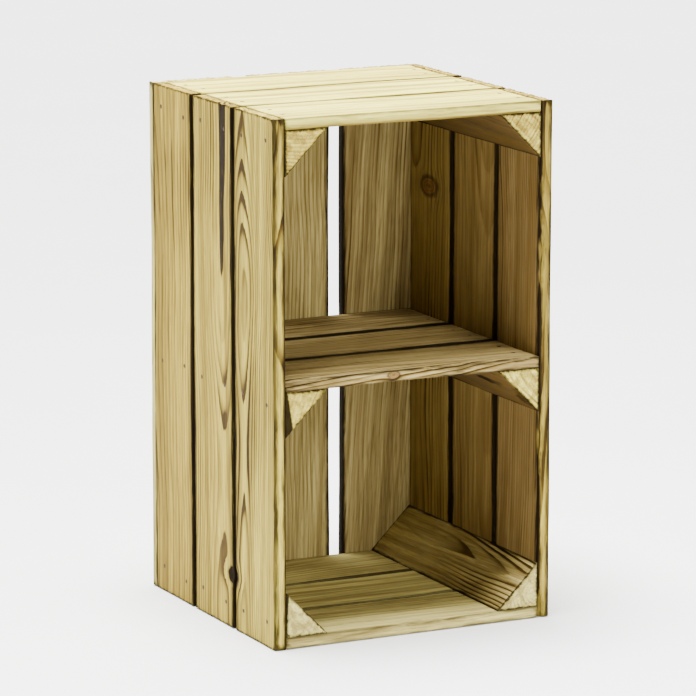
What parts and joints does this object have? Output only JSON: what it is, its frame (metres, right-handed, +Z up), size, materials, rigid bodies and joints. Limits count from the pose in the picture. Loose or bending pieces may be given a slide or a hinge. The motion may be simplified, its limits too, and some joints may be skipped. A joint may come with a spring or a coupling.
{
  "type": "apple crate",
  "caption": "Upright open-fronted apple crate of nailed flamed-pine boards with a middle shelf, three-cornered posts and a slatted back.",
  "frame": {"origin": "middle of the footprint, on the surface the crate stands on", "axes": "+Z up along the crate's longest side, -Y out of the open front, +X to the right seen from the front"},
  "size_m": [0.29, 0.28, 0.5],
  "materials": {
    "side_wood": "flamed pine, brushed, dark grain lines on pale straw, matt",
    "panel_wood": "flamed pine, pale tan with grey-brown streaks, matt",
    "back_wood": "flamed pine, darker tan with dark edges, matt",
    "post_wood": "sawn pine, pale end grain, flamed faces, matt",
    "nail_steel": "dull grey steel, slightly browned by the flame"
  },
  "bodies": {
    "root": {"side_board_left_front": "side_wood", "side_board_left_middle": "side_wood", "side_board_left_back": "side_wood", "side_board_right_front": "side_wood", "side_board_right_middle": "side_wood", "side_board_right_back": "side_wood", "back_board_left": "back_wood", "back_board_centre": "back_wood", "back_board_right": "back_wood", "top_board_front": "panel_wood", "top_board_middle": "panel_wood", "top_board_back": "panel_wood", "shelf_board_front": "panel_wood", "shelf_board_middle": "panel_wood", "shelf_board_back": "panel_wood", "base_board_front": "panel_wood", "base_board_middle": "panel_wood", "base_board_back": "panel_wood", "corner_post_top_left": "post_wood", "corner_post_top_right": "post_wood", "shelf_cleat_left": "post_wood", "shelf_cleat_right": "post_wood", "corner_post_base_left": "post_wood", "corner_post_base_right": "post_wood", "nails_left_side": "nail_steel", "nails_right_side": "nail_steel", "nails_back": "nail_steel", "nails_top": "nail_steel", "nails_shelf": "nail_steel", "nails_base": "nail_steel"}
  },
  "joints": []
}
